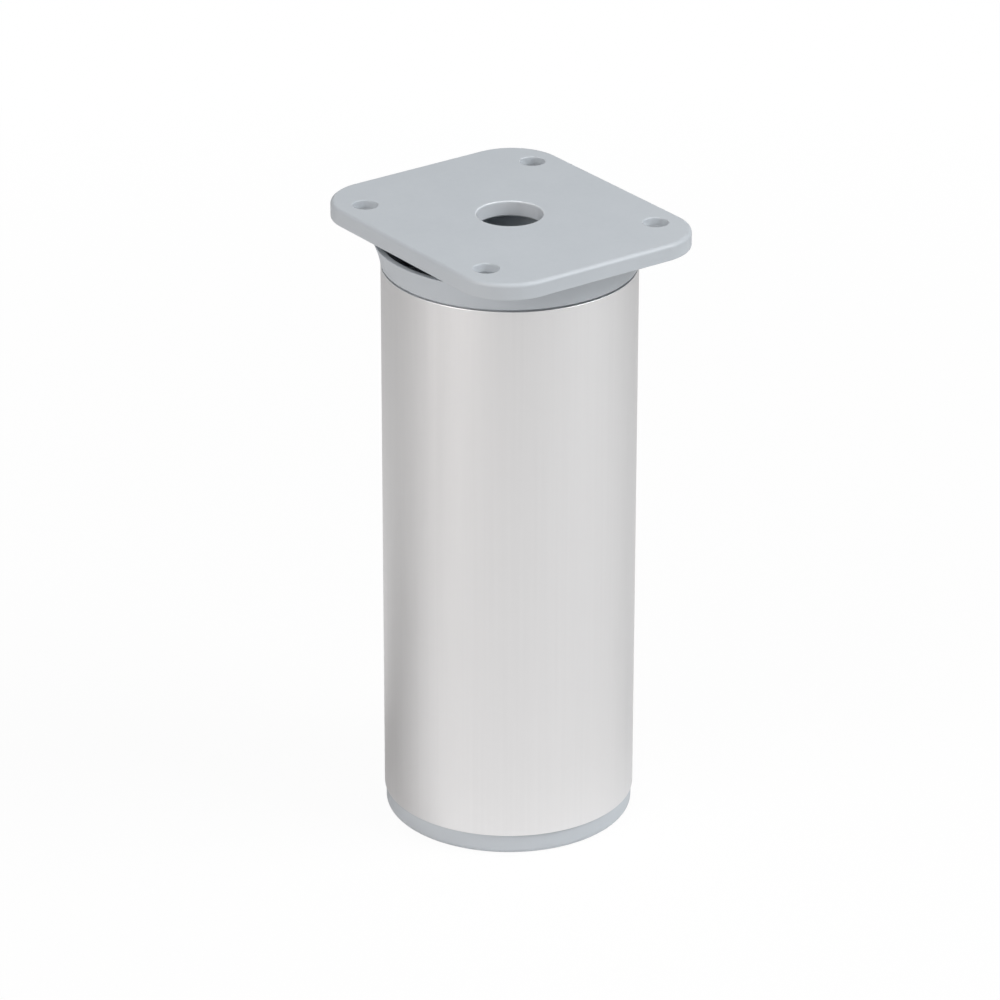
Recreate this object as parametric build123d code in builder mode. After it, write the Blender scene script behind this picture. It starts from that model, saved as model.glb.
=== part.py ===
"""Round furniture leg: moulded mounting plate, flared collar, aluminium tube and a levelling foot.

Millimetres, +Z up. The origin lies on the floor in the middle of the foot.
The short side of the mounting plate runs along X and its long side along Y.
"""
import os

from build123d import *

# Stack of the visible pieces, from the floor up
tube_diameter = 60.0
tube_wall = 1.5
tube_length = 134.8
foot_height = 5.0
collar_height = 8.2
plate_thickness = 4.0

# Mounting plate
plate_width = 62.0
plate_length = 74.0
plate_corner_radius = 12.8
plate_upper_edge_chamfer = 0.8
plate_lower_edge_chamfer = 0.2
screw_side_distance = 7.0
screw_end_distance = 13.0
screw_hole_diameter = 5.8
screw_head_diameter = 10.0
access_hole_diameter = 15.5
access_hole_edge_chamfer = 0.3

# Hollow spigot under the plate, held in the collar by four sprung hooks
spigot_diameter = 30.0
spigot_wall = 3.5
spigot_fit = 0.05
spigot_slot_width = 4.0
spigot_slot_height = 14.0
hook_overhang = 0.8
hook_height = 3.0
hook_gap = 0.1
key_width = 4.0
key_height = 1.2
key_length = 16.0
key_fit = 0.1

# Collar: flared rim above the tube, plug inside it
rim_radius = 31.8
rim_gap = 1.6
rim_wall = 1.6
flare_sagitta = 0.2
shadow_joint_height = 0.5
shadow_joint_depth = 0.9
throat_depth = 1.0
press_fit_gap = 0.03
plug_wall = 2.4
plug_length = 22.0
plug_web_thickness = 2.5
collar_boss_wall = 3.5
rib_thickness = 2.0
rib_count = 4
rib_drop = 3.0

# Lower plug that carries the nut
lower_plug_recess = 3.4
lower_plug_length = 24.0
lower_boss_diameter = 27.0

# Levelling spindle, nut and foot
spindle_diameter = 10.0
spindle_top = 44.0
spindle_end_chamfer = 0.7
spindle_socket_flats = 5.0
spindle_socket_depth = 6.0
spindle_flange_diameter = 16.0
spindle_flange_height = 3.0
thread_fit = 0.05
nut_flats = 17.0
nut_height = 8.0
nut_fit = 0.05
spindle_clearance = 0.5
foot_diameter = 59.2
foot_lower_edge_chamfer = 0.9
foot_floor = 2.0
foot_band_wall = 3.5
pocket_fit = 0.08
hub_wall = 3.0
hub_lip = 0.8
hub_lip_height = 1.2
hub_slot_width = 1.4
hub_slot_rise = 0.8
foot_rib_drop = 0.5

# Derived levels and radii
tube_radius = tube_diameter / 2
tube_bore = tube_radius - tube_wall
tube_bottom = foot_height
tube_top = tube_bottom + tube_length
plate_underside = tube_top + collar_height
plate_top = plate_underside + plate_thickness
rim_level = plate_underside - rim_gap
screw_spacing_x = plate_width - 2 * screw_side_distance
screw_spacing_y = plate_length - 2 * screw_end_distance
spigot_radius = spigot_diameter / 2
spigot_bore = spigot_radius - spigot_wall
boss_bore = spigot_radius + spigot_fit
boss_radius = boss_bore + collar_boss_wall
plug_radius = tube_bore - press_fit_gap
plug_bore = plug_radius - plug_wall
plug_bottom = tube_top - plug_length
web_top = plug_bottom + plug_web_thickness
hook_level = plug_bottom - hook_gap
spigot_bottom = hook_level - hook_height
lower_plug_bottom = tube_bottom + lower_plug_recess
lower_plug_top = lower_plug_bottom + lower_plug_length
lower_boss_radius = lower_boss_diameter / 2
lower_web_bottom = lower_plug_top - plug_web_thickness
nut_top = lower_plug_bottom + nut_height
flange_radius = spindle_flange_diameter / 2
flange_top = foot_floor + spindle_flange_height
pocket_radius = flange_radius + pocket_fit
hub_radius = pocket_radius + hub_wall
lip_level = flange_top + pocket_fit
hub_top = lip_level + hub_lip_height
foot_radius = foot_diameter / 2
foot_bore = foot_radius - foot_band_wall


os.makedirs("parts", exist_ok=True)

# Mounting plate with its screw holes, access hole and spigot
with BuildPart() as mounting_plate:
    with BuildSketch(Plane.XY.offset(plate_underside)):
        RectangleRounded(plate_width, plate_length, plate_corner_radius)
        with GridLocations(screw_spacing_x, screw_spacing_y, 2, 2):
            Circle(screw_hole_diameter / 2, mode=Mode.SUBTRACT)
        Circle(access_hole_diameter / 2, mode=Mode.SUBTRACT)
    extrude(amount=plate_thickness)
    upper_face = mounting_plate.faces().sort_by(Axis.Z)[-1]
    chamfer(upper_face.outer_wire().edges(), plate_upper_edge_chamfer)
    lower_face = mounting_plate.faces().sort_by(Axis.Z)[0]
    chamfer(lower_face.outer_wire().edges(), plate_lower_edge_chamfer)
    upper_rims = mounting_plate.faces().sort_by(Axis.Z)[-1].inner_wires().sort_by(SortBy.LENGTH)
    chamfer(upper_rims[-1].edges(), access_hole_edge_chamfer)
    lower_rims = mounting_plate.faces().sort_by(Axis.Z)[0].inner_wires().sort_by(SortBy.LENGTH)
    chamfer(
        [edge for rim in lower_rims[:-1] for edge in rim.edges()],
        (screw_head_diameter - screw_hole_diameter) / 2,
    )
    with BuildSketch(Plane.XZ):
        with BuildLine():
            Polyline(
                (spigot_bore, plate_underside),
                (spigot_radius, plate_underside),
                (spigot_radius, hook_level),
                (spigot_radius + hook_overhang, hook_level),
                (spigot_radius - hook_overhang, spigot_bottom),
                (spigot_bore, spigot_bottom),
                close=True,
            )
        make_face()
    revolve(axis=Axis.Z)
    with BuildSketch(Plane.XY.offset(plate_underside)):
        with PolarLocations(spigot_radius, 2):
            Rectangle(2 * key_height, key_width)
        Circle(spigot_radius - key_height, mode=Mode.SUBTRACT)
    extrude(amount=-key_length)
    with BuildSketch(Plane.XY.offset(spigot_bottom)):
        Rectangle(spigot_slot_width, 2 * spigot_diameter, rotation=45)
        Rectangle(spigot_slot_width, 2 * spigot_diameter, rotation=-45)
    extrude(amount=spigot_slot_height, mode=Mode.SUBTRACT)

# Collar: flared rim over the tube end, cup-shaped plug with ribs and a boss for the spigot
with BuildPart() as collar:
    with BuildSketch(Plane.XZ):
        with BuildLine():
            Polyline(
                (plug_radius, plug_bottom),
                (plug_radius, tube_top),
                (tube_radius - shadow_joint_depth, tube_top),
                (tube_radius - shadow_joint_depth, tube_top + shadow_joint_height),
                (tube_radius, tube_top + shadow_joint_height),
            )
            SagittaArc(
                (tube_radius, tube_top + shadow_joint_height),
                (rim_radius, rim_level),
                flare_sagitta,
            )
            Polyline(
                (rim_radius, rim_level),
                (rim_radius - rim_wall, rim_level),
                (plug_bore, tube_top - throat_depth),
                (plug_bore, web_top),
                (boss_radius, web_top),
                (boss_radius, plate_underside),
                (boss_bore, plate_underside),
                (boss_bore, plug_bottom),
                (plug_radius, plug_bottom),
            )
        make_face()
    revolve(axis=Axis.Z)
    with BuildSketch(Plane.XY.offset(plate_underside)):
        with PolarLocations(boss_bore, 2):
            Rectangle(2 * (key_height + key_fit), key_width + 2 * key_fit)
    extrude(amount=-(key_length + key_fit), mode=Mode.SUBTRACT)
    with BuildSketch(Plane.XY.offset(web_top)):
        with PolarLocations((boss_radius + plug_bore) / 2, rib_count, start_angle=180 / rib_count):
            Rectangle(plug_bore - boss_radius + plug_wall, rib_thickness)
    extrude(amount=tube_top - rib_drop - web_top)

# Tube
with BuildPart() as tube:
    with BuildSketch(Plane.XY.offset(tube_bottom)):
        Circle(tube_radius)
        Circle(tube_bore, mode=Mode.SUBTRACT)
    extrude(amount=tube_length)

# Lower plug, pressed into the foot end of the tube, with a hexagon pocket for the nut
with BuildPart() as lower_plug:
    with BuildSketch(Plane.XZ):
        with BuildLine():
            Polyline(
                (plug_bore, lower_plug_bottom),
                (plug_radius, lower_plug_bottom),
                (plug_radius, lower_plug_top),
                (spindle_diameter / 2 + spindle_clearance, lower_plug_top),
                (spindle_diameter / 2 + spindle_clearance, lower_plug_bottom),
                (lower_boss_radius, lower_plug_bottom),
                (lower_boss_radius, lower_web_bottom),
                (plug_bore, lower_web_bottom),
                close=True,
            )
        make_face()
    revolve(axis=Axis.Z)
    with BuildSketch(Plane.XY.offset(lower_plug_bottom)):
        RegularPolygon(nut_flats / 2 + nut_fit, 6, major_radius=False)
    extrude(amount=nut_height, mode=Mode.SUBTRACT)
    with BuildSketch(Plane.XY.offset(lower_web_bottom)):
        with PolarLocations((lower_boss_radius + plug_bore) / 2, rib_count):
            Rectangle(plug_bore - lower_boss_radius + plug_wall, rib_thickness)
    extrude(amount=lower_plug_bottom + rib_drop - lower_web_bottom)

# Hexagon nut in the lower plug
with BuildPart() as levelling_nut:
    with BuildSketch(Plane.XY.offset(nut_top - nut_height)):
        RegularPolygon(nut_flats / 2, 6, major_radius=False)
        Circle(spindle_diameter / 2 + thread_fit, mode=Mode.SUBTRACT)
    extrude(amount=nut_height)

# Levelling spindle: flange below, hexagon socket above
with BuildPart() as levelling_spindle:
    with BuildSketch(Plane.XZ):
        with BuildLine():
            Polyline(
                (0, foot_floor),
                (flange_radius, foot_floor),
                (flange_radius, flange_top),
                (spindle_diameter / 2, flange_top),
                (spindle_diameter / 2, spindle_top - spindle_end_chamfer),
                (spindle_diameter / 2 - spindle_end_chamfer, spindle_top),
                (0, spindle_top),
                close=True,
            )
        make_face()
    revolve(axis=Axis.Z)
    with BuildSketch(Plane.XY.offset(spindle_top)):
        RegularPolygon(spindle_socket_flats / 2, 6, major_radius=False)
    extrude(amount=-spindle_socket_depth, mode=Mode.SUBTRACT)

# Foot: flush band under the tube, hub with a sprung lip over the spindle flange
with BuildPart() as foot:
    with BuildSketch(Plane.XZ):
        with BuildLine():
            Polyline(
                (0, 0),
                (foot_radius - foot_lower_edge_chamfer, 0),
                (foot_radius, foot_lower_edge_chamfer),
                (foot_radius, foot_height),
                (foot_bore, foot_height),
                (foot_bore, foot_floor),
                (hub_radius, foot_floor),
                (hub_radius, hub_top),
                (pocket_radius - hub_lip, hub_top),
                (pocket_radius - hub_lip, lip_level),
                (pocket_radius, lip_level),
                (pocket_radius, foot_floor),
                (0, foot_floor),
                close=True,
            )
        make_face()
    revolve(axis=Axis.Z)
    with BuildSketch(Plane.XY.offset(foot_floor)):
        with PolarLocations((hub_radius + foot_bore) / 2, rib_count):
            Rectangle(foot_bore - hub_radius + foot_band_wall, rib_thickness)
    extrude(amount=foot_height - foot_rib_drop - foot_floor)
    with BuildSketch(Plane.XY.offset(hub_top)):
        Rectangle(hub_slot_width, 2 * hub_radius + hub_slot_width, rotation=45)
        Rectangle(hub_slot_width, 2 * hub_radius + hub_slot_width, rotation=-45)
    extrude(amount=foot_floor + hub_slot_rise - hub_top, mode=Mode.SUBTRACT)

mounting_plate.part.label = "mounting_plate"
collar.part.label = "collar"
tube.part.label = "tube"
lower_plug.part.label = "lower_plug"
levelling_nut.part.label = "levelling_nut"
levelling_spindle.part.label = "levelling_spindle"
foot.part.label = "foot"

export_step(mounting_plate.part, "parts/mounting_plate.step")
export_step(collar.part, "parts/collar.step")
export_step(tube.part, "parts/tube.step")
export_step(lower_plug.part, "parts/lower_plug.step")
export_step(levelling_nut.part, "parts/levelling_nut.step")
export_step(levelling_spindle.part, "parts/levelling_spindle.step")
export_step(foot.part, "parts/foot.step")
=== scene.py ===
"""Looks of a round furniture leg: moulded plate and collar, satin aluminium tube, levelling foot.

Metres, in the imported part's own frame: +Z up, the floor at zero, the plate's long side along Y.
"""
import math

import bmesh
import bpy
from mathutils import Matrix, Vector


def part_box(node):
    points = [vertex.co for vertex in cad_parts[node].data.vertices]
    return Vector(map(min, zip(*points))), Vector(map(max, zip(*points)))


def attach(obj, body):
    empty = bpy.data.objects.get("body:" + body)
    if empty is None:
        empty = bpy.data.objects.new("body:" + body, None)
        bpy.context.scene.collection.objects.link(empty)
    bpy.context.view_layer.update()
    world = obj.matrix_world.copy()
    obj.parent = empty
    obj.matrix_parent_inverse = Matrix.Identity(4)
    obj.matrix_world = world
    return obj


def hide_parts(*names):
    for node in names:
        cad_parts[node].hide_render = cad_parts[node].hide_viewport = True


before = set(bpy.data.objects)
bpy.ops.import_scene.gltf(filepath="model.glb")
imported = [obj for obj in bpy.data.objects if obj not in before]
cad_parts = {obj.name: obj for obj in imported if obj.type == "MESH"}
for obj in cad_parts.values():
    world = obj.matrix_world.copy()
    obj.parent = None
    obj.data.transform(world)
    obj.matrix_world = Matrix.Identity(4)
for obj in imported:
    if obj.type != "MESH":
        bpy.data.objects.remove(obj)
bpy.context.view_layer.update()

mm = 0.001

# Levels and outer sizes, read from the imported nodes
tube_low, tube_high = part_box("tube")
plate_low, plate_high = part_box("mounting_plate")
collar_low, collar_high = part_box("collar")
foot_low, foot_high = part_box("foot")
spindle_low, spindle_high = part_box("levelling_spindle")
foot_underside = foot_low[2]
tube_bottom = tube_low[2]
tube_top = tube_high[2]
plate_top = plate_high[2]
plate_underside = collar_high[2]
plug_bottom = collar_low[2]
spigot_bottom = plate_low[2]
hub_top = foot_high[2]
foot_floor = spindle_low[2]
spindle_top = spindle_high[2]
plate_width = plate_high[0] - plate_low[0]
plate_length = plate_high[1] - plate_low[1]
tube_radius = tube_high[0]
foot_radius = foot_high[0]
rim_radius = collar_high[0]

# Mounting plate
plate_corner_radius = 12.8 * mm
plate_upper_round = 1.0 * mm
plate_lower_round = 0.2 * mm
screw_spacing = 48 * mm
screw_hole_radius = 2.9 * mm
screw_head_radius = 5 * mm
screw_rim_round = 0.3 * mm
access_hole_radius = 7.75 * mm
access_rim_round = 0.35 * mm
access_lower_round = 0.8 * mm
spigot_radius = 15 * mm
spigot_bore = 11.5 * mm
spigot_slot_width = 4 * mm
spigot_slot_height = 14 * mm
hook_overhang = 0.8 * mm
hook_height = 3 * mm
key_width = 4 * mm
key_height = 1.2 * mm
key_length = 16 * mm

# Collar
rim_gap = 1.6 * mm
rim_wall = 1.6 * mm
rim_round = 0.3 * mm
flare_sag = 0.2 * mm
joint_height = 0.5 * mm
joint_depth = 0.9 * mm
joint_lip_round = 0.12 * mm
throat_depth = 1.0 * mm
plug_radius = 28.47 * mm
plug_wall = 2.4 * mm
plug_web = 2.5 * mm
boss_bore = 15.05 * mm
boss_radius = 18.55 * mm
rib_thickness = 2 * mm
rib_count = 4
rib_drop = 3 * mm
key_fit = 0.1 * mm

# Tube
tube_wall = 1.5 * mm
tube_end_round = 0.15 * mm

# Foot
foot_height = tube_bottom
foot_edge_round = 1.3 * mm
foot_band_wall = 3.5 * mm
foot_rib_drop = 0.5 * mm
hub_radius = 11.08 * mm
hub_lip_radius = 7.28 * mm
hub_lip_height = 1.2 * mm
pocket_radius = 8.08 * mm
hub_slot_width = 1.4 * mm
hub_slot_foot = 0.8 * mm

# The slots of the spigot and the hub lie between the keys and ribs
slot_turns = (math.radians(45), math.radians(-45))

# Levelling spindle
flange_radius = 8 * mm
flange_height = 3 * mm
flange_edge_round = 0.3 * mm
thread_crest = 5 * mm
thread_pitch = 1.5 * mm
thread_depth = 0.92 * mm
thread_crest_flat = 0.19 * mm
thread_root_flat = 0.37 * mm
thread_spare_turns = 2
neck_radius = 4.4 * mm
neck_height = 2.5 * mm
spindle_end_chamfer = 0.7 * mm
socket_flats = 5 * mm
socket_depth = 6 * mm

# Fineness of the meshes
ring_points = 192
tube_points = 256
small_ring_points = 96
corner_steps = 24
round_steps = 6
inner_round_steps = 4
fine_round_steps = 3
flare_steps = 10
thread_steps = 48
hole_rim_sweep = math.radians(82)
hole_foot_angles = range(84, 0, -17)
crease_angle = math.radians(32)

# Reach of cutters past a face, and how close points count as one
overcut = 1 * mm
near = 0.02 * mm
merge_distance = 1e-6
cut_tolerance = 1e-7

# Photograph's view; angles in degrees, the camera's roll in radians
camera_azimuth = -35.953
camera_elevation = 24.7747
camera_distance = 1.23947
camera_target = Vector((-0.00176794, 0.00128228, 0.079098))
camera_roll = 0.0016
camera_lens = 188.511
camera_sensor = 36.0

# Floor and surround; a white share of one is plain white
floor_size = 1.5
floor_gap = 0.05 * mm
floor_shade = 0.92
floor_roughness = 0.9
floor_white_share = 0.95
floor_fade_start = 0.10
floor_fade_end = 0.50
surround_tint = (0.98, 0.99, 1.0)
surround_level = 0.04
reflected_white_share = 0.6

# Span of a noise pattern that is used, and the height of a surface's grain
pattern_low = 0.3
pattern_high = 0.7
grain_height = 0.02 * mm


def only(piece):
    """Selects one piece and makes it the one being worked on."""
    bpy.ops.object.select_all(action="DESELECT")
    piece.select_set(True)
    bpy.context.view_layer.objects.active = piece


def turned(name, profile, ring=False, points=ring_points):
    """A turned piece: a disc, or a circle for a ring, drawn out along (radius, height) points."""
    bpy.ops.object.select_all(action="DESELECT")
    radius, height = profile[0]
    bpy.ops.mesh.primitive_circle_add(
        vertices=points,
        radius=radius,
        fill_type="NOTHING" if ring else "NGON",
        location=(0, 0, height),
    )
    piece = bpy.context.object
    piece.name = name
    bpy.ops.object.transform_apply(location=True, rotation=False, scale=False)
    bpy.ops.object.mode_set(mode="EDIT")
    bpy.ops.mesh.select_mode(type="EDGE")
    bpy.ops.mesh.select_all(action="SELECT")
    way = profile[1:] + profile[:1] if ring else profile[1:]
    for next_radius, next_height in way:
        rise = (0, 0, next_height - height)
        bpy.ops.mesh.extrude_region_move(TRANSFORM_OT_translate={"value": rise})
        spread = next_radius / radius
        bpy.ops.transform.resize(value=(spread, spread, 1), center_override=(0, 0, 0))
        radius, height = next_radius, next_height
    bpy.ops.mesh.select_all(action="SELECT")
    bpy.ops.mesh.remove_doubles(threshold=merge_distance)
    bpy.ops.mesh.normals_make_consistent(inside=False)
    bpy.ops.object.mode_set(mode="OBJECT")
    return piece


def block(name, size, centre, turn=0.0):
    """A block at its place, then turned about the upright axis of the leg."""
    bpy.ops.object.select_all(action="DESELECT")
    bpy.ops.mesh.primitive_cube_add(size=1, location=centre, scale=size)
    piece = bpy.context.object
    piece.name = name
    piece.matrix_world = Matrix.Rotation(turn, 4, "Z") @ piece.matrix_world
    bpy.ops.object.transform_apply(location=True, rotation=True, scale=True)
    return piece


def shape_with(piece, tool, operation):
    """Cuts, joins or trims a piece with a tool body, which is used up."""
    only(piece)
    step = piece.modifiers.new("shape", "BOOLEAN")
    step.operation = operation
    step.solver = "EXACT"
    step.object = tool
    bpy.ops.object.modifier_apply(modifier=step.name)
    bpy.data.objects.remove(tool, do_unlink=True)


def pick_edges(piece, wanted):
    """Opens a piece for editing with only the edges selected that pass the test."""
    only(piece)
    bpy.ops.object.mode_set(mode="EDIT")
    bpy.ops.mesh.select_mode(type="EDGE")
    bpy.ops.mesh.select_all(action="DESELECT")
    shape = bmesh.from_edit_mesh(piece.data)
    for edge in shape.edges:
        edge.select_set(wanted(*(end.co for end in edge.verts)))
    bmesh.update_edit_mesh(piece.data)


def round_edges(piece, wanted, width, steps=round_steps):
    """Rounds the edges that pass the test."""
    pick_edges(piece, wanted)
    bpy.ops.mesh.bevel(offset=width, segments=steps, affect="EDGES")
    bpy.ops.object.mode_set(mode="OBJECT")


def on_ring(radius, height):
    """A test for edges on a circle about the leg's axis."""
    return lambda *ends: all(
        abs(end.xy.length - radius) < near and abs(end.z - height) < near for end in ends
    )


def at_height(height):
    """A test for edges that lie at a level."""
    return lambda *ends: all(abs(end.z - height) < near for end in ends)


def upright(lower, upper):
    """The test for edges that stand up."""
    return abs(lower.z - upper.z) > overcut


def dress(piece, body, node, finish):
    """Smooths the piece between its creases, gives it its finish and lets it stand for its node."""
    only(piece)
    bpy.ops.object.shade_smooth_by_angle(angle=crease_angle)
    flat_first = piece.modifiers.new("flat faces stay flat", "WEIGHTED_NORMAL")
    flat_first.keep_sharp = True
    flat_first.weight = 100
    bpy.ops.object.modifier_apply(modifier=flat_first.name)
    piece.data.materials.clear()
    piece.data.materials.append(finish)
    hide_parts(node)
    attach(piece, body)


def plate_blank():
    """The bare plate: a block with round corners and softened edges."""
    plate = block(
        "moulded_plate",
        (plate_width, plate_length, plate_top - plate_underside),
        (0, 0, (plate_underside + plate_top) / 2),
    )
    round_edges(plate, upright, plate_corner_radius, corner_steps)
    round_edges(plate, at_height(plate_top), plate_upper_round)
    round_edges(plate, at_height(plate_underside), plate_lower_round, inner_round_steps)
    return plate


def hole_cutter(name, place, radius, edge_round, foot_of_hole):
    """A cutter for a hole with a softly rounded upper rim, standing on the given lower profile."""
    rim = []
    for step in range(round_steps):
        angle = hole_rim_sweep * step / (round_steps - 1)
        rim.append((
            radius + edge_round * (1 - math.cos(angle)),
            plate_top - edge_round * (1 - math.sin(angle)),
        ))
    above = (rim[-1][0], plate_top + overcut)
    cutter = turned(name, foot_of_hole + rim + [above], points=small_ring_points)
    cutter.location = (place[0], place[1], 0)
    only(cutter)
    bpy.ops.object.transform_apply(location=True, rotation=False, scale=False)
    return cutter


def cut_screw_holes(plate):
    """Four screw holes, countersunk from below."""
    countersink = screw_head_radius - screw_hole_radius
    foot_of_hole = [
        (screw_head_radius + overcut, plate_underside - overcut),
        (screw_hole_radius, plate_underside + countersink),
    ]
    for side in (-1, 1):
        for end in (-1, 1):
            place = (side * screw_spacing / 2, end * screw_spacing / 2)
            cutter = hole_cutter(
                "screw_hole", place, screw_hole_radius, screw_rim_round, foot_of_hole
            )
            shape_with(plate, cutter, "DIFFERENCE")


def cut_access_hole(plate):
    """The hole in the middle for the key that turns the spindle, rounded at both ends."""
    foot_of_hole = [(access_hole_radius + access_lower_round, plate_underside - overcut)]
    for degrees in hole_foot_angles:
        angle = math.radians(degrees)
        foot_of_hole.append((
            access_hole_radius + access_lower_round * (1 - math.cos(angle)),
            plate_underside + access_lower_round * (1 - math.sin(angle)),
        ))
    cutter = hole_cutter(
        "access_hole", (0, 0), access_hole_radius, access_rim_round, foot_of_hole
    )
    shape_with(plate, cutter, "DIFFERENCE")


def clip_spigot():
    """The spigot under the plate, with two keys, and four sprung hooks between its slots."""
    hook_level = spigot_bottom + hook_height
    seat = plate_underside + overcut
    spigot = turned("spigot", [
        (spigot_bore, seat),
        (spigot_radius, seat),
        (spigot_radius, hook_level),
        (spigot_radius + hook_overhang, hook_level),
        (spigot_radius - hook_overhang, spigot_bottom),
        (spigot_bore, spigot_bottom),
    ], ring=True, points=small_ring_points)
    for side in (-1, 1):
        key = block(
            "key",
            (2 * key_height, key_width, key_length + overcut),
            (side * spigot_radius, 0, seat - (key_length + overcut) / 2),
        )
        shape_with(spigot, key, "UNION")
    for turn in slot_turns:
        slot = block(
            "slot",
            (spigot_slot_width, 4 * spigot_radius, spigot_slot_height + overcut),
            (0, 0, spigot_bottom + (spigot_slot_height - overcut) / 2),
            turn,
        )
        shape_with(spigot, slot, "DIFFERENCE")
    return spigot


def polish_access_hole_painted_light(plate, bore_painted_light_finish):
    """Gives the wall of the access hole a smoother finish whose lighter colour is painted light on
    the wall.
    """
    plate.data.materials.append(bore_painted_light_finish)
    bore_reach = access_hole_radius + access_lower_round
    for face in plate.data.polygons:
        corners = [plate.data.vertices[number].co for number in face.vertices]
        in_bore = all(corner.xy.length < bore_reach for corner in corners)
        if in_bore and face.center.z > plate_underside:
            face.material_index = 1


def make_mounting_plate(finish, bore_painted_light_finish):
    """Plate with countersunk screw holes, a polished access hole with painted light on its wall, and
    the spigot below.
    """
    plate = plate_blank()
    cut_screw_holes(plate)
    cut_access_hole(plate)
    shape_with(plate, clip_spigot(), "UNION")
    dress(plate, "leg", "mounting_plate", finish)
    polish_access_hole_painted_light(plate, bore_painted_light_finish)


def flare_line(foot, rim):
    """The collar's slightly hollow outer line, from its foot up to its rim."""
    run = rim - foot
    inward = Vector((-run.y, run.x)).normalized()
    line = []
    for step in range(flare_steps + 1):
        part = step / flare_steps
        point = foot + run * part + inward * flare_sag * 4 * part * (1 - part)
        line.append((point.x, point.y))
    return line


def make_collar(finish):
    """Flared collar: rounded rim, relieved joint over the tube, cup-shaped plug, ribs and boss."""
    rim_level = plate_underside - rim_gap
    flare_foot = tube_top + joint_height
    plug_bore = plug_radius - plug_wall
    web_top = plug_bottom + plug_web
    collar = turned("moulded_collar", [
        (plug_radius, plug_bottom),
        (plug_radius, tube_top),
        (tube_radius - joint_depth, tube_top),
        (tube_radius - joint_depth, flare_foot),
        *flare_line(Vector((tube_radius, flare_foot)), Vector((rim_radius, rim_level))),
        (rim_radius - rim_wall, rim_level),
        (plug_bore, tube_top - throat_depth),
        (plug_bore, web_top),
        (boss_radius, web_top),
        (boss_radius, plate_underside),
        (boss_bore, plate_underside),
        (boss_bore, plug_bottom),
    ], ring=True)
    inner_rim = on_ring(rim_radius - rim_wall, rim_level)
    round_edges(collar, on_ring(rim_radius, rim_level), rim_round)
    round_edges(collar, inner_rim, rim_round, inner_round_steps)
    round_edges(collar, on_ring(tube_radius, flare_foot), joint_lip_round, fine_round_steps)
    keyway_height = 2 * (key_height + key_fit)
    keyway_width = key_width + 2 * key_fit
    for side in (-1, 1):
        keyway = block(
            "keyway",
            (keyway_height, keyway_width, key_length + key_fit + overcut),
            (side * boss_bore, 0, plate_underside + (overcut - key_length - key_fit) / 2),
        )
        shape_with(collar, keyway, "DIFFERENCE")
    rib_top = tube_top - rib_drop
    for number in range(rib_count):
        rib = block(
            "rib",
            (plug_bore - boss_radius + plug_wall, rib_thickness, rib_top - web_top + overcut),
            ((boss_radius + plug_bore) / 2, 0, (rib_top + web_top - overcut) / 2),
            math.tau * (number + 0.5) / rib_count,
        )
        shape_with(collar, rib, "UNION")
    dress(collar, "leg", "collar", finish)


def make_tube(finish):
    """Aluminium tube with its cut ends lightly broken."""
    bore = tube_radius - tube_wall
    tube = turned("satin_tube", [
        (bore, tube_bottom),
        (tube_radius, tube_bottom),
        (tube_radius, tube_top),
        (bore, tube_top),
    ], ring=True, points=tube_points)
    for level in (tube_top, tube_bottom):
        round_edges(tube, on_ring(tube_radius, level), tube_end_round, fine_round_steps)
    dress(tube, "leg", "tube", finish)


def make_foot(finish):
    """Foot band with its hub, sprung lip and ribs."""
    bore = foot_radius - foot_band_wall
    lip_level = hub_top - hub_lip_height
    foot = turned("moulded_foot", [
        (foot_radius, foot_underside),
        (foot_radius, foot_height),
        (bore, foot_height),
        (bore, foot_floor),
        (hub_radius, foot_floor),
        (hub_radius, hub_top),
        (hub_lip_radius, hub_top),
        (hub_lip_radius, lip_level),
        (pocket_radius, lip_level),
        (pocket_radius, foot_floor),
    ])
    round_edges(foot, on_ring(foot_radius, foot_underside), foot_edge_round)
    round_edges(foot, on_ring(foot_radius, foot_height), joint_lip_round, fine_round_steps)
    rib_top = foot_height - foot_rib_drop
    for number in range(rib_count):
        rib = block(
            "rib",
            (bore - hub_radius + foot_band_wall, rib_thickness, rib_top - foot_floor + overcut),
            ((bore + hub_radius) / 2, 0, (rib_top + foot_floor - overcut) / 2),
            math.tau * number / rib_count,
        )
        shape_with(foot, rib, "UNION")
    slot_foot = foot_floor + hub_slot_foot
    for turn in slot_turns:
        slot = block(
            "slot",
            (hub_slot_width, 2 * hub_radius + hub_slot_width, hub_top - slot_foot + overcut),
            (0, 0, (hub_top + slot_foot + overcut) / 2),
            turn,
        )
        shape_with(foot, slot, "DIFFERENCE")
    dress(foot, "foot", "foot", finish)


def thread_tooth(start):
    """One tooth of the thread as a line: a plane merged to a point and drawn out in four strokes."""
    flank = (thread_pitch - thread_crest_flat - thread_root_flat) / 2
    strokes = (
        (0, thread_root_flat),
        (thread_depth, flank),
        (0, thread_crest_flat),
        (-thread_depth, flank),
    )
    bpy.ops.object.select_all(action="DESELECT")
    bpy.ops.mesh.primitive_plane_add(size=mm, location=(0, 0, 0))
    tooth = bpy.context.object
    bpy.ops.object.mode_set(mode="EDIT")
    bpy.ops.mesh.select_mode(type="VERT")
    bpy.ops.mesh.select_all(action="SELECT")
    bpy.ops.mesh.merge(type="CENTER")
    bpy.ops.transform.translate(value=(thread_crest - thread_depth, 0, start))
    for out, rise in strokes:
        bpy.ops.mesh.extrude_region_move(TRANSFORM_OT_translate={"value": (out, 0, rise)})
    bpy.ops.object.mode_set(mode="OBJECT")
    return tooth


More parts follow.
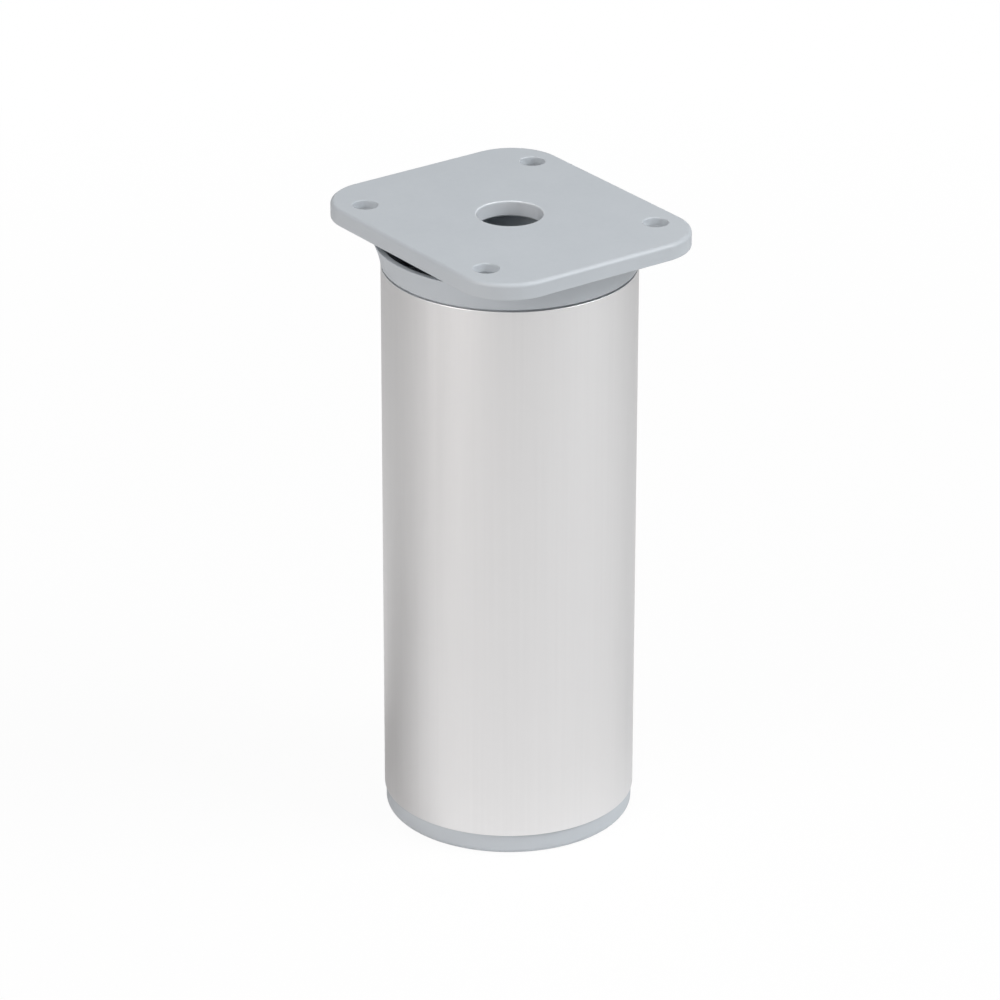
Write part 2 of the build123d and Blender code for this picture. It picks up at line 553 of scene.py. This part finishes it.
def thread_rod(bottom, top):
    """A rod with a right-hand thread, wound up from one tooth and cut flat at both ends."""
    rod = thread_tooth(bottom - thread_spare_turns * thread_pitch)
    rod.name = "threaded_spindle"
    winding = rod.modifiers.new("winding", "SCREW")
    winding.axis = "Z"
    winding.angle = math.tau
    winding.screw_offset = thread_pitch
    winding.iterations = math.ceil((top - bottom) / thread_pitch) + 2 * thread_spare_turns
    winding.steps = thread_steps
    winding.render_steps = thread_steps
    winding.use_merge_vertices = True
    bpy.ops.object.modifier_apply(modifier=winding.name)
    bpy.ops.object.mode_set(mode="EDIT")
    bpy.ops.mesh.select_all(action="SELECT")
    bpy.ops.mesh.remove_doubles(threshold=merge_distance)
    for level, below in ((bottom, True), (top, False)):
        bpy.ops.mesh.select_all(action="SELECT")
        bpy.ops.mesh.bisect(
            plane_co=(0, 0, level),
            plane_no=(0, 0, 1),
            use_fill=True,
            clear_inner=below,
            clear_outer=not below,
            threshold=cut_tolerance,
        )
    bpy.ops.mesh.select_all(action="SELECT")
    bpy.ops.mesh.normals_make_consistent(inside=False)
    bpy.ops.object.mode_set(mode="OBJECT")
    return rod


def make_spindle(finish):
    """Levelling spindle: flange, neck, thread with a chamfered end and a hexagon socket."""
    flange_top = foot_floor + flange_height
    thread_foot = flange_top + neck_height
    spindle = thread_rod(thread_foot, spindle_top)
    chamfer_cone = turned("end_chamfer", [
        (2 * thread_crest, thread_foot - overcut),
        (2 * thread_crest, spindle_top - spindle_end_chamfer - thread_crest),
        (thread_crest - spindle_end_chamfer - overcut, spindle_top + overcut),
    ], points=small_ring_points)
    shape_with(spindle, chamfer_cone, "INTERSECT")
    flange = turned("flange", [
        (flange_radius, foot_floor),
        (flange_radius, flange_top),
        (neck_radius, flange_top),
        (neck_radius, thread_foot + thread_pitch),
    ], points=small_ring_points)
    round_edges(flange, on_ring(flange_radius, flange_top), flange_edge_round, fine_round_steps)
    shape_with(spindle, flange, "UNION")
    bpy.ops.object.select_all(action="DESELECT")
    bpy.ops.mesh.primitive_cylinder_add(
        vertices=6,
        radius=socket_flats / math.sqrt(3),
        depth=socket_depth + overcut,
        location=(0, 0, spindle_top + (overcut - socket_depth) / 2),
    )
    socket = bpy.context.object
    bpy.ops.object.transform_apply(location=True, rotation=False, scale=False)
    shape_with(spindle, socket, "DIFFERENCE")
    dress(spindle, "spindle", "levelling_spindle", finish)


def new_finish(name):
    """An empty material with its shader and the object's own coordinates."""
    finish = bpy.data.materials.new(name)
    finish.use_nodes = True
    tree = finish.node_tree
    shader = tree.nodes["Principled BSDF"]
    place = tree.nodes.new("ShaderNodeTexCoord")
    return finish, tree, shader, place.outputs["Object"]


def noise(tree, place, scale, detail, stretch=(1, 1, 1)):
    """A noise pattern on the piece, drawn out along an axis where stretch is below one."""
    mapping = tree.nodes.new("ShaderNodeMapping")
    mapping.inputs["Scale"].default_value = stretch
    tree.links.new(place, mapping.inputs["Vector"])
    pattern = tree.nodes.new("ShaderNodeTexNoise")
    pattern.inputs["Scale"].default_value = scale
    pattern.inputs["Detail"].default_value = detail
    tree.links.new(mapping.outputs["Vector"], pattern.inputs["Vector"])
    return pattern.outputs["Fac"]


def colour(tree, shader, pattern, dark, light):
    """Two close shades of a colour, mixed by a pattern."""
    ramp = tree.nodes.new("ShaderNodeValToRGB")
    for element, position, shade in zip(
        ramp.color_ramp.elements, (pattern_low, pattern_high), (dark, light)
    ):
        element.position = position
        element.color = (*shade, 1)
    tree.links.new(pattern, ramp.inputs["Fac"])
    tree.links.new(ramp.outputs["Color"], shader.inputs["Base Color"])


def span(tree, pattern, source, result):
    """A value carried over from one span to another, and held at its ends."""
    node = tree.nodes.new("ShaderNodeMapRange")
    node.inputs["From Min"].default_value, node.inputs["From Max"].default_value = source
    node.inputs["To Min"].default_value, node.inputs["To Max"].default_value = result
    tree.links.new(pattern, node.inputs["Value"])
    return node.outputs["Result"]


def gloss(tree, shader, pattern, smoothest, roughest):
    """A roughness that wanders between two limits with a pattern."""
    roughness = span(tree, pattern, (pattern_low, pattern_high), (smoothest, roughest))
    tree.links.new(roughness, shader.inputs["Roughness"])


def relief(tree, shader, pattern, strength):
    """Fine surface relief from a pattern."""
    bump = tree.nodes.new("ShaderNodeBump")
    bump.inputs["Strength"].default_value = strength
    bump.inputs["Distance"].default_value = grain_height
    tree.links.new(pattern, bump.inputs["Height"])
    tree.links.new(bump.outputs["Normal"], shader.inputs["Normal"])


def moulded_grey(name, dark, light, smoothest, roughest):
    """Light grey moulded plastic; the smoother it is, the weaker its fine grain."""
    finish, tree, shader, place = new_finish(name)
    clouds = noise(tree, place, scale=90, detail=3)
    sheen = noise(tree, place, scale=700, detail=2)
    grain = noise(tree, place, scale=3200, detail=2)
    colour(tree, shader, clouds, dark, light)
    gloss(tree, shader, sheen, smoothest, roughest)
    relief(tree, shader, grain, strength=roughest / 4)
    return finish


def satin_aluminium():
    """Satin anodised aluminium with faint draw lines along the tube."""
    finish, tree, shader, place = new_finish("satin_anodised_aluminium")
    shader.inputs["Metallic"].default_value = 1.0
    lines = noise(tree, place, scale=1100, detail=4, stretch=(1, 1, 0.012))
    sheen = noise(tree, place, scale=500, detail=3, stretch=(1, 1, 0.02))
    colour(tree, shader, lines, dark=(0.754, 0.754, 0.759), light=(0.768, 0.768, 0.773))
    gloss(tree, shader, sheen, smoothest=0.32, roughest=0.38)
    relief(tree, shader, lines, strength=0.03)
    return finish


def zinc_steel():
    """Zinc plated steel with a slightly cloudy sheen."""
    finish, tree, shader, place = new_finish("zinc_plated_steel")
    shader.inputs["Metallic"].default_value = 1.0
    clouds = noise(tree, place, scale=260, detail=4)
    sheen = noise(tree, place, scale=420, detail=3)
    grain = noise(tree, place, scale=2400, detail=2)
    colour(tree, shader, clouds, dark=(0.58, 0.59, 0.60), light=(0.68, 0.69, 0.71))
    gloss(tree, shader, sheen, smoothest=0.28, roughest=0.42)
    relief(tree, shader, grain, strength=0.08)
    return finish


def towards(azimuth, elevation):
    """The direction from the leg to a camera or lamp at an azimuth and elevation in degrees."""
    around, up = math.radians(azimuth), math.radians(elevation)
    level = math.cos(up)
    return Vector((math.sin(around) * level, -math.cos(around) * level, math.sin(up)))


def set_camera():
    """The camera at the photograph's viewing angle."""
    data = bpy.data.cameras.new("photo_camera")
    data.lens = camera_lens
    data.sensor_width = camera_sensor
    data.clip_start = 0.05
    data.clip_end = 50
    camera = bpy.data.objects.new("photo_camera", data)
    bpy.context.scene.collection.objects.link(camera)
    away = towards(camera_azimuth, camera_elevation)
    turn = (-away).to_track_quat("-Z", "Y").to_matrix().to_4x4()
    camera.matrix_world = (
        Matrix.Translation(camera_target + away * camera_distance)
        @ turn
        @ Matrix.Rotation(camera_roll, 4, "Z")
    )
    bpy.context.scene.camera = camera


def soft_box(name, azimuth, elevation, distance, size, power, spread, tint=(1, 1, 1)):
    """A square soft light aimed at the middle of the leg; its angles are in degrees."""
    data = bpy.data.lights.new(name, "AREA")
    data.size = size
    data.energy = power
    data.color = tint
    data.spread = math.radians(spread)
    lamp = bpy.data.objects.new(name, data)
    bpy.context.scene.collection.objects.link(lamp)
    aim = towards(azimuth, elevation)
    lamp.location = Vector((0, 0, plate_top / 2)) + aim * distance
    lamp.rotation_euler = (-aim).to_track_quat("-Z", "Y").to_euler()


def mixed(tree, share, first, second):
    """A mix of two shaders by a share of the second."""
    mix = tree.nodes.new("ShaderNodeMixShader")
    tree.links.new(share, mix.inputs["Fac"])
    tree.links.new(first, mix.inputs[1])
    tree.links.new(second, mix.inputs[2])
    return mix.outputs["Shader"]


def white_floor():
    """White floor paint that shows the camera a trace of the leg's shadow, and plain white far off.

    From below the floor is clear, so that it doesn't hide the leg.
    """
    finish, tree, paint, place = new_finish("white_floor")
    paint.inputs["Base Color"].default_value = (floor_shade, floor_shade, floor_shade, 1)
    paint.inputs["Roughness"].default_value = floor_roughness
    paint.inputs["Specular IOR Level"].default_value = 0.0
    distance = tree.nodes.new("ShaderNodeVectorMath")
    distance.operation = "LENGTH"
    tree.links.new(place, distance.inputs[0])
    fade = span(
        tree,
        distance.outputs["Value"],
        (floor_fade_start, floor_fade_end),
        (floor_white_share, 1.0),
    )
    path = tree.nodes.new("ShaderNodeLightPath")
    share = tree.nodes.new("ShaderNodeMath")
    share.operation = "MULTIPLY"
    tree.links.new(path.outputs["Is Camera Ray"], share.inputs[0])
    tree.links.new(fade, share.inputs[1])
    white = tree.nodes.new("ShaderNodeEmission")
    clear = tree.nodes.new("ShaderNodeBsdfTransparent")
    side = tree.nodes.new("ShaderNodeNewGeometry")
    above = mixed(tree, share.outputs["Value"], paint.outputs["BSDF"], white.outputs["Emission"])
    both_sides = mixed(tree, side.outputs["Backfacing"], above, clear.outputs["BSDF"])
    tree.links.new(both_sides, tree.nodes["Material Output"].inputs["Surface"])
    return finish


def set_floor():
    """A plain floor that stays under the foot when it is screwed out."""
    bpy.ops.object.select_all(action="DESELECT")
    bpy.ops.mesh.primitive_plane_add(size=floor_size, location=(0, 0, -floor_gap))
    floor = bpy.context.object
    floor.name = "floor"
    floor.data.materials.append(white_floor())
    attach(floor, "foot")


def set_surround():
    """A faint surround light that looks white to the camera and somewhat darker in reflections.

    The tube's edges would be lost against the surround if they mirrored it at full strength.
    """
    world = bpy.data.worlds.new("studio")
    bpy.context.scene.world = world
    world.use_nodes = True
    tree = world.node_tree
    light = tree.nodes["Background"]
    light.inputs["Color"].default_value = (*surround_tint, 1)
    light.inputs["Strength"].default_value = surround_level
    white = tree.nodes.new("ShaderNodeBackground")
    white.inputs["Color"].default_value = (1, 1, 1, 1)
    path = tree.nodes.new("ShaderNodeLightPath")
    seen = path.outputs["Is Camera Ray"]
    for kind in ("Is Glossy Ray", "Is Transmission Ray"):
        add = tree.nodes.new("ShaderNodeMath")
        add.operation = "MULTIPLY_ADD"
        add.use_clamp = True
        add.inputs[1].default_value = reflected_white_share
        tree.links.new(path.outputs[kind], add.inputs[0])
        tree.links.new(seen, add.inputs[2])
        seen = add.outputs["Value"]
    surround = mixed(tree, seen, light.outputs["Background"], white.outputs["Background"])
    tree.links.new(surround, tree.nodes["World Output"].inputs["Surface"])


grey = moulded_grey(
    "moulded_grey_plastic",
    dark=(0.495, 0.533, 0.570),
    light=(0.510, 0.548, 0.585),
    smoothest=0.40,
    roughest=0.48,
)
# Smoother grey for the access hole's wall. Its lighter shades are painted light, standing in for the
# light that falls on and reflects off that wall.
polished_grey_painted_light = moulded_grey(
    "polished_grey_plastic_painted_light",
    dark=(0.66, 0.70, 0.74),
    light=(0.68, 0.72, 0.76),
    smoothest=0.12,
    roughest=0.16,
)
aluminium = satin_aluminium()
steel = zinc_steel()

make_mounting_plate(grey, polished_grey_painted_light)
make_collar(grey)
make_tube(aluminium)
make_foot(grey)
make_spindle(steel)
for node, finish in (("lower_plug", grey), ("levelling_nut", steel)):
    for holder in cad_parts[node].material_slots:
        holder.material = finish

set_camera()
set_floor()
set_surround()
soft_box(
    "left_light",
    azimuth=camera_azimuth - 50,
    elevation=15,
    distance=1.2,
    size=0.7,
    power=3.05,
    spread=140,
    tint=(1.0, 0.95, 0.92),
)
soft_box(
    "upper_left_light",
    azimuth=camera_azimuth - 40,
    elevation=40,
    distance=1.2,
    size=1.2,
    power=2.55,
    spread=140,
    tint=(1.0, 0.965, 0.945),
)
soft_box(
    "right_light",
    azimuth=camera_azimuth + 75,
    elevation=40,
    distance=1.2,
    size=0.7,
    power=5.0,
    spread=120,
)
soft_box(
    "top_light",
    azimuth=camera_azimuth + 20,
    elevation=80,
    distance=0.55,
    size=0.5,
    power=0.85,
    spread=180,
)
bpy.context.scene.view_settings.view_transform = "Standard"
